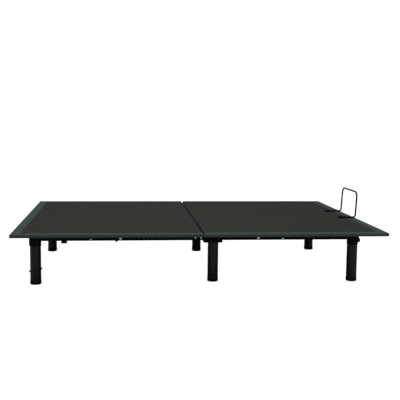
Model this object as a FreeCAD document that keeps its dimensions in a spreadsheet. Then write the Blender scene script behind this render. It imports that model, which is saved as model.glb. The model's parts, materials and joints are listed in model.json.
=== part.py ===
import FreeCAD, Part
import math
import os
import re
import Sketcher

# Adjustable bed base, millimetres. X runs from head (-) to foot (+), Y across, Z up.
# The origin is on the floor, under the centre of the deck.

sizes = {
    # deck
    "deckLong": 2032.0, "deckWide": 1524.0, "deckTop": 315.3, "boardThick": 12.0,
    "coverThick": 5.3, "skirtThick": 3.0, "skirtDrop": 18.7, "splitGap": 8.0,
    "endCorner": 12.0, "splitCorner": 6.0,
    # panel lengths and frame width, for a deck of the usual length and width
    "usualLong": 2032.0, "usualWide": 1524.0, "headLong": 711.0, "seatLong": 305.0,
    "hipLong": 82.0, "thighLong": 389.0,
    # frame
    "frameWide": 1084.0, "railSize": 30.0, "tubeWall": 1.5, "railGap": 4.0, "restGap": 3.0,
    "barTall": 20.0, "barWide": 20.0, "headRailInset": 88.0, "footRailInset": 101.0,
    "endTubeRadius": 17.0, "endTubeDrop": 8.0, "headTubeInset": 90.0, "footTubeInset": 108.0,
    "seatTubeBack": 75.0, "sideBarInset": 12.0, "headBarInset": 56.0, "headBarBack": 79.0,
    "headBarNear": 25.0, "thighBarNear": 28.0, "thighBarFar": 31.0, "calfBarNear": 29.0,
    "calfBarFar": 66.0, "glideInset": 266.0, "glideLong": 30.0, "glideTall": 14.0,
    "tabBack": 22.0, "tabLong": 14.0, "tabTall": 6.0, "tabThick": 3.0,
    # deck hinges
    "hingeGap": 13.0, "hingeDrop": 2.0, "lugRadius": 12.0, "lugThick": 5.7, "lugSpace": 0.3,
    "lugTall": 14.0, "lugLong": 48.0, "pinRadius": 4.0, "pinHead": 7.0, "pinHeadThick": 3.0,
    "runFit": 0.05,
    # lifting arms
    "pivotUp": 12.0, "headPivotBack": 136.0, "footPivotOn": 249.4, "headArmLong": 300.0,
    "liftRadius": 17.0, "liftWall": 3.0, "liftEndGap": 1.0, "armRadius": 20.0, "armThick": 10.0,
    "armSide": 300.0, "axleRadius": 6.0, "axleHead": 10.0, "rollerRadius": 17.7,
    "rollerWide": 24.0, "rollerSpace": 1.5, "trackThick": 3.0, "trackWide": 30.0,
    "trackLong": 200.0, "trackLead": 40.0, "bushLong": 30.0, "boltRadius": 6.0,
    "boltHead": 8.0, "boltHeadThick": 4.0,
    # drives
    "driveSide": 120.0, "headLeverDrop": 75.0, "footLeverDrop": 90.0, "headLeverLean": 39.6,
    "footLeverLean": 17.5, "headPinSlope": 0.796, "footPinSlope": 0.3122,
    "leverThick": 8.0, "slotRadius": 8.5, "headSlotNear": 74.0, "headSlotFar": 98.0,
    "footSlotNear": 89.0, "footSlotFar": 96.0, "forkPinRadius": 5.0, "forkGap": 12.0,
    "forkCheek": 6.0, "forkReach": 38.0, "forkTall": 20.0, "forkBase": 20.0,
    "rodRadius": 11.0, "rodBore": 7.0, "rodFit": 0.3, "guideRadius": 16.0, "guideGap": 5.0,
    "screwRadius": 6.0, "caseLong": 55.0, "caseTall": 60.0, "caseWide": 110.0,
    "caseEdge": 6.0, "motorRadius": 26.0, "motorSide": 52.0, "headMotorLong": 150.0,
    "footMotorLong": 110.0, "headRodClear": 50.8, "footRodClear": 23.8, "hangWide": 40.0,
    # legs
    "legRadius": 30.0, "socketRoof": 5.0, "legJoint": 79.0, "capTall": 22.0,
    "capProud": 0.9, "capEdge": 3.0, "midLegInset": 29.0, "headLegInset": 108.0,
    "footLegInset": 131.0, "socketWall": 2.0, "socketFit": 0.1, "socketTall": 30.0,
    "headNoseOut": 13.0, "footNoseOut": 23.0, "noseRadius": 22.0, "headNoseTall": 28.0,
    "footNoseTall": 18.0, "midPlateBack": 58.0, "midPlateOn": 46.0, "midPlateIn": 34.0,
    "midPlateTall": 14.0, "studRadius": 5.0, "studDeep": 30.0,
    "collarProud": 7.0, "collarTall": 5.0, "collarTilt": 12.0,
    # small frame parts
    "foldPlateThick": 4.0, "foldPlateBack": 45.0, "foldPlateOn": 28.0, "foldBoltBack": 24.5,
    "foldBoltOn": 6.4, "railBoltRadius": 4.0, "railBoltHead": 6.0, "bracketThick": 3.0,
    "bracketLong": 50.0, "bracketDrop": 25.0, "restBack": 298.7, "bumperLong": 30.0,
    "bumperSpace": 0.2,
    # control box
    "boxLong": 115.0, "boxWide": 140.0, "boxTall": 42.0, "boxSide": 210.0, "boxWall": 2.5,
    "boxLid": 4.0, "socketSize": 12.0, "socketDeep": 8.0,
    # mattress retainer
    "wireRadius": 5.0, "retainerWide": 310.0, "retainerTall": 155.0, "retainerEdge": 2.0,
    "retainerFoot": 108.0, "retainerLean": 8.0, "retainerBend": 14.0, "retainerCorner": 38.0,
    "clampLong": 28.0, "clampWide": 20.0, "clampTall": 11.0,
}

doc = FreeCAD.newDocument("AdjustableBedBase")
sheet = doc.addObject("Spreadsheet::Sheet", "dims")
for row, (alias, value) in enumerate(sizes.items(), start=1):
    sheet.set(f"A{row}", alias)
    sheet.set(f"B{row}", str(value))
    sheet.setAlias(f"B{row}", alias)
doc.recompute()

functions = {"sin", "cos"}
parts = {}


def cells(text):
    # every bare word of an expression is a cell of the sheet
    return re.sub(r"[a-zA-Z]\w*", lambda m: m[0] if m[0] in functions else "dims." + m[0], text)


def number(text):
    return float(sheet.evalExpression(cells(text)))


def bind(thing, prop, text):
    thing.setExpression(prop, cells(text))


# places along the bed
headEnd = "(-deckLong / 2)"
footEnd = "(deckLong / 2)"
headX = "(headLong * deckLong / usualLong - deckLong / 2)"
splitX = f"({headX} + seatLong * deckLong / usualLong)"
thighX = f"({splitX} + hipLong * deckLong / usualLong)"
kneeX = f"({thighX} + thighLong * deckLong / usualLong)"
headPivotX = f"({headX} - headPivotBack)"
footPivotX = f"({thighX} + footPivotOn)"
calfPinX = f"({kneeX} + footPivotOn)"
seatTubeX = f"({splitX} - seatTubeBack)"
# levels
boardTop = "(deckTop - coverThick)"
boardLow = "(deckTop - coverThick - boardThick)"
barLow = f"({boardLow} - barTall)"
railTop = f"({barLow} - restGap)"
railLow = f"({railTop} - railSize)"
hingeZ = f"({boardLow} - hingeDrop)"
pivotZ = f"({railLow} + pivotUp)"
legTop = f"({railLow} - socketRoof)"
headRodZ = f"({pivotZ} - headLeverDrop)"
footRodZ = f"({pivotZ} - footLeverDrop)"

# places across the bed, for the side at +Y
railOut = "(frameWide * deckWide / usualWide / 2)"
railIn = f"({railOut} - railSize)"
barOut = f"({railIn} - sideBarInset)"
barIn = f"({barOut} - barWide)"
midLegSide = f"({railIn} - midLegInset)"

headLegX = f"({headEnd} + headLegInset)"
footLegX = f"({footEnd} - footLegInset)"
legPlaces = {
    "head_left": (headLegX, f"-{railIn}"), "head_right": (headLegX, railIn),
    "mid_left": (thighX, f"-{midLegSide}"), "mid_right": (thighX, midLegSide),
    "foot_left": (footLegX, f"-{railIn}"), "foot_right": (footLegX, railIn),
}


def across(low, high, side):
    # a stretch across the bed, kept at +Y or mirrored to -Y
    return (low, high) if side > 0 else (f"-({high})", f"-({low})")


def block(name, x, y, z):
    solid = doc.addObject("Part::Box", name)
    for prop, letter, (low, high) in zip(("Length", "Width", "Height"), "xyz", (x, y, z)):
        bind(solid, prop, f"({high}) - ({low})")
        bind(solid, "Placement.Base." + letter, low)
    return solid


def tube(name, along, x, y, z):
    # a square tube, open at the ends that face along
    inside = {}
    for letter, (low, high) in zip("xyz", (x, y, z)):
        trim = "1" if letter == along else "-tubeWall"
        inside[letter] = (f"({low}) - ({trim})", f"({high}) + ({trim})")
    return cut(name, block(name + "_outer", x, y, z), block(name + "_inner", *inside.values()))


turns = {
    "x": FreeCAD.Rotation(FreeCAD.Vector(0, 1, 0), 90),
    "y": FreeCAD.Rotation(FreeCAD.Vector(1, 0, 0), -90),
    "z": FreeCAD.Rotation(),
}


def rod(name, axis, centre, radius, span):
    # centre holds the two places that are not along the axis, in X, Y, Z order
    solid = doc.addObject("Part::Cylinder", name)
    solid.Placement = FreeCAD.Placement(FreeCAD.Vector(), turns[axis])
    bind(solid, "Radius", radius)
    bind(solid, "Height", f"({span[1]}) - ({span[0]})")
    places = list(centre)
    places.insert("xyz".index(axis), span[0])
    for letter, place in zip("xyz", places):
        bind(solid, "Placement.Base." + letter, place)
    return solid


def cut(name, base, *tools):
    for index, tool in enumerate(tools):
        result = doc.addObject("Part::Cut", f"{name}_cut{index}")
        result.Base = base
        result.Tool = tool
        base = result
    return base


def join(name, *pieces):
    result = doc.addObject("Part::MultiFuse", name)
    result.Shapes = list(pieces)
    result.Refine = True
    return result


def group(name, pieces):
    result = doc.addObject("Part::Compound", name)
    result.Links = list(pieces)
    return result


def part(name, thing):
    thing.Label = name
    parts[name] = thing
    return thing


def plane(body, role):
    return next(item for item in body.Origin.OriginFeatures if item.Role == role)


def place(sketch, first, second, corner):
    # pins the sketch point `corner` at two sheet expressions
    for kind, text in (("DistanceX", first), ("DistanceY", second)):
        index = sketch.addConstraint(Sketcher.Constraint(kind, -1, 1, *corner, number(text)))
        bind(sketch, f"Constraints[{index}]", text)


def newSketch(body, name, role, depth):
    sketch = body.newObject("Sketcher::SketchObject", name)
    sketch.AttachmentSupport = [(plane(body, role), "")]
    sketch.MapMode = "FlatFace"
    bind(sketch, "AttachmentOffset.Base.z", depth)
    return sketch


def circle(sketch, first, second, radius):
    middle = FreeCAD.Vector(number(first), number(second), 0)
    index = sketch.addGeometry(Part.Circle(middle, FreeCAD.Vector(0, 0, 1), number(radius)))
    place(sketch, first, second, (index, 3))
    rule = sketch.addConstraint(Sketcher.Constraint("Radius", index, number(radius)))
    bind(sketch, f"Constraints[{rule}]", radius)


def stadium(sketch, start, end, radius):
    # a slot outline between two centres
    a = FreeCAD.Vector(number(start[0]), number(start[1]), 0)
    b = FreeCAD.Vector(number(end[0]), number(end[1]), 0)
    reach = number(radius)
    along = (b - a).normalize()
    side = FreeCAD.Vector(-along.y, along.x, 0) * reach
    back = along * -reach
    lines = [
        Part.Arc(a + side, a + back, a - side),
        Part.LineSegment(a - side, b - side),
        Part.Arc(b - side, b - back, b + side),
        Part.LineSegment(b + side, a + side),
    ]
    first = sketch.addGeometry(lines[0])
    for line in lines[1:]:
        sketch.addGeometry(line)
    points = [(curve.StartPoint, curve.EndPoint) for curve in sketch.Geometry[first:first + 4]]
    for one in range(4):
        two = (one + 1) % 4
        pair = min(((i, j) for i in (0, 1) for j in (0, 1)),
                   key=lambda ij: points[one][ij[0]].distanceToPoint(points[two][ij[1]]))
        sketch.addConstraint(
            Sketcher.Constraint("Tangent", first + one, pair[0] + 1, first + two, pair[1] + 1))
    sketch.addConstraint(Sketcher.Constraint("Equal", first, first + 2))
    place(sketch, *start, (first, 3))
    place(sketch, *end, (first + 2, 3))
    rule = sketch.addConstraint(Sketcher.Constraint("Radius", first, reach))
    bind(sketch, f"Constraints[{rule}]", radius)


def plateBody(name, side, thick, draw, holes):
    # an upright plate: its outline and holes lie in XZ, its near face at Y = side
    body = doc.addObject("PartDesign::Body", name)
    outline = newSketch(body, name + "_outline", "XZ_Plane", f"-({side}) - ({thick})")
    draw(outline)
    pad = body.newObject("PartDesign::Pad", name + "_pad")
    pad.Profile = outline
    bind(pad, "Length", thick)
    doc.recompute()
    openings = newSketch(body, name + "_openings", "XZ_Plane", f"-({side}) - ({thick})")
    holes(openings)
    pocket = body.newObject("PartDesign::Pocket", name + "_pocket")
    pocket.Profile = openings
    pocket.Type = "ThroughAll"
    pocket.Midplane = True
    doc.recompute()
    if pocket.Shape.Volume >= pad.Shape.Volume - 1:
        raise RuntimeError(name + ": the pocket cuts nothing")
    return body


def turnedBody(name, role, rows, depth="0"):
    # a turned piece: rows of (radius, height) drawn upright and revolved about the sketch's Y
    body = doc.addObject("PartDesign::Body", name)
    sketch = newSketch(body, name + "_profile", role, depth)
    count = len(rows)
    spots = [FreeCAD.Vector(number(r), number(h), 0) for r, h in rows]
    for index in range(count):
        sketch.addGeometry(Part.LineSegment(spots[index], spots[(index + 1) % count]))
    for index, (radius, height) in enumerate(rows):
        sketch.addConstraint(
            Sketcher.Constraint("Coincident", (index - 1) % count, 2, index, 1))
        place(sketch, radius, height, (index, 1))
    turn = body.newObject("PartDesign::Revolution", name + "_turn")
    turn.Profile = sketch
    turn.ReferenceAxis = (sketch, ["V_Axis"])
    turn.Angle = 360
    doc.recompute()
    return body


# ---- main frame ----

def makeRails():
    stretches = {
        "head": (f"({headEnd} + headRailInset)", f"({splitX} - railGap / 2)"),
        "foot": (f"({splitX} + railGap / 2)", f"({footEnd} - footRailInset)"),
    }
    bolts = {
        "head": [(f"({splitX} - foldBoltBack)", "railBoltRadius", "railSize / 2"),
                 (f"({headX} - restBack)", "railBoltRadius", "railSize / 4"),
                 (headPivotX, "boltRadius", "pivotUp")],
        "foot": [(f"({splitX} + foldBoltOn)", "railBoltRadius", "railSize / 2"),
                 (kneeX, "railBoltRadius", "railSize / 4"),
                 (footPivotX, "boltRadius", "pivotUp")],
    }
    for end, x in stretches.items():
        rails = []
        for side in (-1, 1):
            name = f"{end}_rail"
            y = across(railIn, railOut, side)
            rail = tube(name, "x", x, y, (railLow, railTop))
            holes = [rod(f"{name}_hole{index}", "y", (where, f"{railLow} + {up}"), radius,
                         (f"({y[0]}) - 1", f"({y[1]}) + 1"))
                     for index, (where, radius, up) in enumerate(bolts[end])]
            rails.append(cut(name, rail, *holes))
            if end == "head":
                rails.append(railTab(side))
        part(f"{end}_side_rails", group(f"{end}_side_rails", rails))


def railTab(side):
    # a small tab welded under the outer face of a head rail, beside the lift pivot
    middle = f"({headPivotX} - tabBack)"
    return block("railTab", (f"{middle} - tabLong / 2", f"{middle} + tabLong / 2"),
                 across(f"({railOut} - tabThick)", railOut, side),
                 (f"{railLow} - tabTall", railLow))


def makeCrossTubes():
    span = (f"-{railIn}", railIn)
    ends = []
    for end, x, way in (("head", f"({headEnd} + headTubeInset)", "-"),
                        ("foot", f"({footEnd} - footTubeInset)", "+")):
        name = end + "_end_tube"
        centre = (x, f"({railTop} - railSize / 2 - endTubeDrop)")
        solid = rod(name + "_outer", "y", centre, "endTubeRadius", span)
        bore = rod(name + "_bore", "y", centre, "endTubeRadius - tubeWall", span)
        # the ends are coped to the leg sockets that they are welded to
        copes = []
        for sideName in ("left", "right"):
            legX, legY = legPlaces[f"{end}_{sideName}"]
            copes.append(rod("cope", "z", (legX, legY), "legRadius + socketWall",
                             ("legJoint", railTop)))
            copes.append(rod("noseCope", "z", (f"({legX} {way} {end}NoseOut)", legY),
                             "noseRadius", ("legJoint", railTop)))
        ends.append(cut(name, solid, bore, *copes))
    part("end_tubes", group("end_tubes", ends))
    crossings = []
    for name, x, level in (("seat_cross_tube", seatTubeX, headRodZ),
                           ("mid_cross_tube", thighX, footRodZ)):
        crossings.append(tube(name, "y", (f"{x} - railSize / 2", f"{x} + railSize / 2"), span,
                              (railLow, railTop)))
        crossings.append(block(
            name + "_hanger", (f"{x} - railSize / 2", f"{x} + railSize / 2"),
            ("driveSide - hangWide / 2", "driveSide + hangWide / 2"),
            (f"{level} + caseTall / 2", railLow)))
    part("cross_tubes", group("cross_tubes", crossings))


def makeFoldPlates():
    plates = []
    bolts = []
    for side in (-1, 1):
        y = across(f"({railIn} - foldPlateThick)", railIn, side)
        plate = block(f"foldPlate{side}", (f"{splitX} - foldPlateBack", f"{splitX} + foldPlateOn"),
                      y, (railLow, railTop))
        holes = []
        for where in (f"({splitX} - foldBoltBack)", f"({splitX} + foldBoltOn)"):
            level = f"({railLow} + railSize / 2)"
            holes.append(rod("foldHole", "y", (where, level), "railBoltRadius",
                             (f"({y[0]}) - 1", f"({y[1]}) + 1")))
            bolts.append(railBolt((where, level), side, "foldPlateThick", "railBoltRadius",
                                  "railBoltHead"))
        plates.append(cut(f"foldPlate{side}", plate, *holes))
    part("fold_plates", group("fold_plates", plates))
    return bolts


def railBolt(centre, side, inboard, radius, head):
    # a bolt through a rail, its head on the outer face, its nut on what stands inboard
    shank = across(f"({railIn} - ({inboard}))", railOut, side)
    cap = across(railOut, f"({railOut} + boltHeadThick)", side)
    nut = across(f"({railIn} - ({inboard}) - boltHeadThick)", f"({railIn} - ({inboard}))", side)
    pieces = [rod("boltShank", "y", centre, radius, shank),
              rod("boltHead", "y", centre, head, cap)]
    if head == "railBoltHead":
        pieces.append(rod("boltNut", "y", centre, head, nut))
    return join("bolt", *pieces)


def makeRests():
    brackets = []
    bumpers = []
    bolts = []
    for where in (f"({headX} - restBack)", kneeX):
        for side in (-1, 1):
            half = "bracketLong / 2"
            x = (f"{where} - {half}", f"{where} + {half}")
            web = block("restWeb", x, across(f"({railIn} - bracketThick)", railIn, side),
                        (f"{railTop} - bracketDrop", railTop))
            shelf = block("restShelf", x, across(f"({barIn})", railIn, side),
                          (f"{railTop} - bracketThick * 2", f"{railTop} - bracketThick"))
            level = f"({railLow} + railSize / 4)"
            hole = rod("restHole", "y", (where, level), "railBoltRadius",
                       across(f"({railIn} - bracketThick - 1)", f"({railIn} + 1)", side))
            brackets.append(cut("restBracket", join("restBody", web, shelf), hole))
            bumpers.append(block(
                "bumper", (f"{where} - bumperLong / 2", f"{where} + bumperLong / 2"),
                across(f"({barIn} + 2)", f"({barOut} - 2)", side),
                (f"{railTop} - bracketThick", f"{barLow} - bumperSpace")))
            bolts.append(railBolt((where, level), side, "bracketThick", "railBoltRadius",
                                  "railBoltHead"))
    part("rest_brackets", group("rest_brackets", brackets))
    part("rest_bumpers", group("rest_bumpers", bumpers))
    glides = [block("glide", (f"{headEnd} + glideInset - glideLong / 2",
                              f"{headEnd} + glideInset + glideLong / 2"),
                    across(railIn, railOut, side), (f"{railLow} - glideTall", railLow))
              for side in (-1, 1)]
    part("storage_glides", group("storage_glides", glides))
    return bolts


def makeBearers():
    stretches = (
        (f"({headX} + hingeGap)", f"({splitX} - splitGap / 2 - skirtThick)", headX, 1),
        (f"({splitX} + splitGap / 2 + skirtThick)", f"({thighX} - hingeGap)", thighX, -1),
    )
    pieces = []
    for low, high, hinge, way in stretches:
        for side in (-1, 1):
            bearer = tube("bearer", "x", (low, high), across(railIn, railOut, side),
                          (railTop, boardLow))
            lug = hingeLug(hinge, way, f"({railIn} - lugThick)", side, "pinRadius")
            pieces.append(join("bearerWithLug", bearer, lug))
    part("deck_bearers", group("deck_bearers", pieces))


def hingeLug(hinge, way, inner, side, bore):
    # a flat plate whose round end sits on the hinge axis, reaching way (+1 foot, -1 head)
    y = across(inner, f"({inner} + lugThick)", side)
    ear = rod("lugEar", "y", (hinge, hingeZ), "lugRadius", y)
    reach = (hinge, f"{hinge} + lugLong") if way > 0 else (f"{hinge} - lugLong", hinge)
    tail = block("lugTail", reach, y, (f"{boardLow} - lugTall", boardLow))
    hole = rod("lugHole", "y", (hinge, hingeZ), bore, (f"({y[0]}) - 1", f"({y[1]}) + 1"))
    return cut("lug", join("lugBody", ear, tail), hole)


def hingePin(hinge, side, low, high):
    # a riveted pin with a head at each end; the turning lug has running clearance
    y = across(low, high, side)
    shank = rod("pinShank", "y", (hinge, hingeZ), "pinRadius", y)
    first = rod("pinHead", "y", (hinge, hingeZ), "pinHead",
                across(f"({low} - pinHeadThick)", low, side))
    last = rod("pinHead", "y", (hinge, hingeZ), "pinHead",
               across(high, f"({high} + pinHeadThick)", side))
    return join("pin", shank, first, last)


def makeHingePins():
    low = f"({barOut} - lugSpace)"
    part("deck_hinge_pins", group("deck_hinge_pins", [
        hingePin(hinge, side, low, railIn) for hinge in (headX, thighX) for side in (-1, 1)]))
    part("knee_hinge_pins", group("knee_hinge_pins", [
        hingePin(kneeX, side, barOut, f"({railIn} + lugSpace)") for side in (-1, 1)]))


# ---- legs ----

def makeLegs():
    uppers = []
    lowers = []
    studs = []
    caps = []
    for name, (x, y) in legPlaces.items():
        outer = rod(f"leg_{name}_tube", "z", (x, y), "legRadius", ("legJoint", legTop))
        bore = rod(f"leg_{name}_bore", "z", (x, y), "studRadius",
                   (f"{legTop} - studDeep", legTop))
        uppers.append(cut(f"leg_{name}", outer, bore))
        studs.append(rod("stud", "z", (x, y), "studRadius", (f"{legTop} - studDeep", railLow)))
        lowers.append(rod("legLower", "z", (x, y), "legRadius", ("capTall", "legJoint")))
        caps.append(footCap(name, x, y))
    part("leg_upper_sections", group("leg_upper_sections", uppers))
    part("leg_lower_sections", group("leg_lower_sections", lowers))
    part("leg_studs", group("leg_studs", studs))
    part("foot_caps", group("foot_caps", caps))
    part("leg_collar", makeCollar(*legPlaces["head_left"]))


def makeCollar(x, y):
    # a thin collar round one leg where its two sections meet, lying at a slant
    disc = doc.addObject("Part::Cylinder", "collarDisc")
    disc.Placement.Rotation = FreeCAD.Rotation(FreeCAD.Vector(0, 1, 0), -number("collarTilt"))
    bind(disc, "Radius", "legRadius + collarProud")
    bind(disc, "Height", "collarTall")
    bind(disc, "Placement.Base.x", f"{x} + collarTall / 2 * sin(collarTilt)")
    bind(disc, "Placement.Base.y", y)
    bind(disc, "Placement.Base.z", "legJoint - collarTall / 2 * cos(collarTilt)")
    hole = rod("collarHole", "z", (x, y), "legRadius", ("legJoint / 2", "legJoint * 2"))
    return cut("leg_collar", disc, hole)


def footCap(name, x, y):
    rim = "legRadius + capProud"
    rows = [("0", "0"), (f"{rim} - capEdge", "0"), (rim, "capEdge"), (rim, "capTall"),
            ("0", "capTall")]
    body = turnedBody(f"cap_{name}", "XZ_Plane", rows)
    bind(body, "Placement.Base.x", x)
    bind(body, "Placement.Base.y", y)
    return body


def makeSockets():
    # round cups with a rounded end cap under the rails, and plates under the middle of the bed
    pieces = []
    for end, way in (("head", "-"), ("foot", "+")):
        for sideName in ("left", "right"):
            x, y = legPlaces[f"{end}_{sideName}"]
            low = f"({railLow} - socketTall)"
            cup = rod("socketCup", "z", (x, y), "legRadius + socketWall", (low, railLow))
            nose = rod("socketNose", "z", (f"({x} {way} {end}NoseOut)", y), "noseRadius",
                       (f"({railLow} - {end}NoseTall)", railLow))
            pieces.append(cut("socket", join("socketBody", cup, nose), *legRoom(x, y, low)))
    for sideName, side in (("left", -1), ("right", 1)):
        x, y = legPlaces[f"mid_{sideName}"]
        low = f"({railLow} - midPlateTall)"
        plate = block("midPlate", (f"{x} - midPlateBack", f"{x} + midPlateOn"),
                      across(f"({midLegSide} - midPlateIn)", railOut, side), (low, railLow))
        pieces.append(cut("midSocket", plate, *legRoom(x, y, low)))
    part("leg_sockets", group("leg_sockets", pieces))


def legRoom(x, y, low):
    # the hollow that takes a leg, and the hole for its stud
    return (rod("legHollow", "z", (x, y), "legRadius + socketFit", (f"{low} - 1", legTop)),
            rod("legStudHole", "z", (x, y), "studRadius", (f"{legTop} - 1", f"{railLow} + 1")))


# ---- deck ----

def makeDeck():
    half = "(deckWide / 2)"
    # each panel's stretch, and the corner sizes at its head and foot ends where it is wrapped
    panels = {
        "head": (headEnd, f"({headX} - hingeGap)", "endCorner", None),
        "seat": (f"({headX} + hingeGap)", f"({splitX} - splitGap / 2)", None, "splitCorner"),
        "hip": (f"({splitX} + splitGap / 2)", f"({thighX} - hingeGap)", "splitCorner", None),
        "thigh": (f"({thighX} + hingeGap)", f"({kneeX} - hingeGap)", None, None),
        "calf": (f"({kneeX} + hingeGap)", footEnd, None, "endCorner"),
    }
    for name, (low, high, cornerLow, cornerHigh) in panels.items():
        x = (f"{low} + skirtThick" if cornerLow else low,
             f"{high} - skirtThick" if cornerHigh else high)
        y = (f"-({half} - skirtThick)", f"({half} - skirtThick)")
        boardCorners = [corner and f"({corner} - skirtThick)"
                        for corner in (cornerLow, cornerHigh)]
        part(f"{name}_board", panel(f"{name}_board", x, y, (boardLow, boardTop), boardCorners))
        outer = panel(f"{name}_padOuter", (low, high), (f"-{half}", half),
                      ("deckTop - skirtDrop", "deckTop"), (cornerLow, cornerHigh))
        room = panel(f"{name}_padRoom", (x[0] if cornerLow else f"{low} - 1",
                                         x[1] if cornerHigh else f"{high} + 1"), y,
                     ("deckTop - skirtDrop - 1", boardTop), boardCorners)
        part(f"{name}_pad", cut(f"{name}_pad", outer, room))


def panel(name, x, y, z, corners):
    # a flat block, its upright corners rounded at the ends that have a corner size
    pieces = []
    middle = list(x)
    for index, (corner, way) in enumerate(zip(corners, ("+", "-"))):
        if not corner:
            continue
        middle[index] = f"{x[index]} {way} {corner}"
        strip = (x[0], middle[0]) if index == 0 else (middle[1], x[1])
        pieces.append(block(name + "_strip", strip,
                            (f"{y[0]} + {corner}", f"{y[1]} - {corner}"), z))
        for inset in (f"({y[0]} + {corner})", f"({y[1]} - {corner})"):
            pieces.append(rod(name + "_corner", "z", (f"({middle[index]})", inset), corner, z))
    whole = block(name + "_middle", middle, y, z)
    return join(name, whole, *pieces) if pieces else whole


def bars(xs, low, high):
    # two side bars and the cross bars between them; every bar is a separate tube
    pieces = [tube("sideBar", "x", (low, high), across(barIn, barOut, side), (barLow, boardLow))
              for side in (-1, 1)]
    for x in xs:
        pieces.append(tube("crossBar", "y", (f"{x} - barWide / 2", f"{x} + barWide / 2"),
                           (f"-{barIn}", barIn), (barLow, boardLow)))
    return pieces


def makeSubframes():
    trackIn = "(armSide + armThick / 2 + 1)"
    trackMid = f"({trackIn} + trackWide / 2)"
    crossFar = f"({headEnd} + headBarInset)"
    crossNear = f"({headPivotX} - headBarBack)"
    inner = [tube("innerBar", "x", (f"{crossFar} + barWide / 2", f"{crossNear} - barWide / 2"),
                   across(f"({trackMid} - barWide / 2)", f"({trackMid} + barWide / 2)", side),
                   (barLow, boardLow)) for side in (-1, 1)]
    lugs = [hingeLug(headX, -1, barOut, side, "pinRadius + runFit") for side in (-1, 1)]
    pieces = bars([crossFar, crossNear, f"({headX} - headBarNear)"], crossFar, f"{headX} - hingeGap")
    part("head_subframe", group("head_subframe", pieces + inner + lugs))
    trackX = f"({headPivotX} - headArmLong - trackLead)"
    tracks = [block("track", (trackX, f"{trackX} + trackLong"),
                    across(trackIn, f"({trackIn} + trackWide)", side),
                    (f"{barLow} - trackThick", barLow)) for side in (-1, 1)]
    part("roller_tracks", group("roller_tracks", tracks))
    pieces = bars([f"({thighX} + thighBarNear)", f"({kneeX} - thighBarFar)"],
                  f"{thighX} + hingeGap", f"{kneeX} - hingeGap")
    part("thigh_subframe", group("thigh_subframe", pieces + thighLugs()))
    calfFar = f"({footEnd} - calfBarFar)"
    pieces = bars([f"({kneeX} + calfBarNear)", calfPinX, calfFar], f"{kneeX} + hingeGap",
                  f"{calfFar} + barWide / 2")
    part("calf_subframe", group("calf_subframe", pieces + calfLugs() + armHangers()))


def thighLugs():
    lugs = []
    for side in (-1, 1):
        lugs.append(hingeLug(thighX, 1, barOut, side, "pinRadius + runFit"))
        lugs.append(hingeLug(kneeX, -1, barOut, side, "pinRadius"))
    return lugs


def calfLugs():
    # set outboard of the thigh's lugs by a spacer
    lugs = []
    for side in (-1, 1):
        lug = hingeLug(kneeX, 1, f"({barOut} + lugThick + lugSpace)", side,
                       "pinRadius + runFit")
        spacer = block("lugSpacer", (f"{kneeX} + hingeGap + 2", f"{kneeX} + lugLong"),
                       across(barOut, f"({barOut} + lugThick + lugSpace)", side),
                       (f"{boardLow} - lugTall", boardLow))
        lugs.append(join("calfLug", lug, spacer))
    return lugs


hangerIn = "(armSide + armThick / 2 + 1)"


def armHangers():
    hangers = []
    for side in (-1, 1):
        y = across(hangerIn, f"({hangerIn} + lugThick)", side)
        ear = rod("hangerEar", "y", (calfPinX, pivotZ), "axleHead + 4", y)
        leg = block("hangerLeg", (f"{calfPinX} - axleHead", f"{calfPinX} + axleHead"), y,
                    (pivotZ, barLow))
        hole = rod("hangerHole", "y", (calfPinX, pivotZ), "axleRadius",
                   (f"({y[0]}) - 1", f"({y[1]}) + 1"))
        hangers.append(cut("hanger", join("hangerBody", ear, leg), hole))
    return hangers


def makeArmPins():
    # riveted pins that hold the foot arms to the hangers
    low = "(armSide - armThick / 2 - lugSpace)"
    high = f"({hangerIn} + lugThick)"
    pins = []
    for side in (-1, 1):
        pieces = [("axleRadius", low, high), ("axleHead", f"({low} - pinHeadThick)", low),
                  ("axleHead", high, f"({high} + pinHeadThick)")]
        pins.append(join("armPin", *[rod("armPinPiece", "y", (calfPinX, pivotZ), radius,
                                         across(near, far, side))
                                     for radius, near, far in pieces]))
    part("arm_pins", group("arm_pins", pins))


# ---- lifting arms ----

def makeArms():
    arms = {
        "head": (headPivotX, f"({headPivotX} - headArmLong)", "axleRadius"),
        "foot": (footPivotX, calfPinX, "axleRadius + runFit"),
    }
    bushes = []
    bolts = []
    for end, (pivot, far, bore) in arms.items():
        ends = f"({railIn} - liftEndGap)"
        centre = (pivot, pivotZ)
        outer = rod(f"{end}TubeOuter", "y", centre, "liftRadius", (f"-{ends}", ends))
        inner = rod(f"{end}TubeBore", "y", centre, "liftRadius - liftWall", (f"-{ends}", ends))
        part(f"{end}_lift_tube", cut(f"{end}_lift_tube", outer, inner))
        plates = []
        for sideName, side in (("left", -1), ("right", 1)):
            name = f"{end}_arm_{sideName}"
            start = f"{side} * armSide - armThick / 2"

            def draw(sketch):
                stadium(sketch, centre, (far, pivotZ), "armRadius")

            def holes(sketch):
                circle(sketch, *centre, "liftRadius")
                circle(sketch, far, pivotZ, bore)

            plates.append(plateBody(name, start, "armThick", draw, holes))
            y = across(f"({ends} - bushLong)", ends, side)
            bush = rod("bush", "y", centre, "liftRadius - liftWall", y)
            hole = rod("bushHole", "y", centre, "boltRadius + runFit", y)
            bushes.append((end, cut("bush", bush, hole)))
            bolts.append(railBolt(centre, side, "bushLong", "boltRadius", "boltHead"))
        part(f"{end}_lift_arms", group(f"{end}_lift_arms", plates))
    for end in arms:
        part(f"{end}_lift_bushes",
             group(f"{end}_lift_bushes", [bush for owner, bush in bushes if owner == end]))
    part("lift_pivot_bolts", group("lift_pivot_bolts", bolts))


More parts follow.
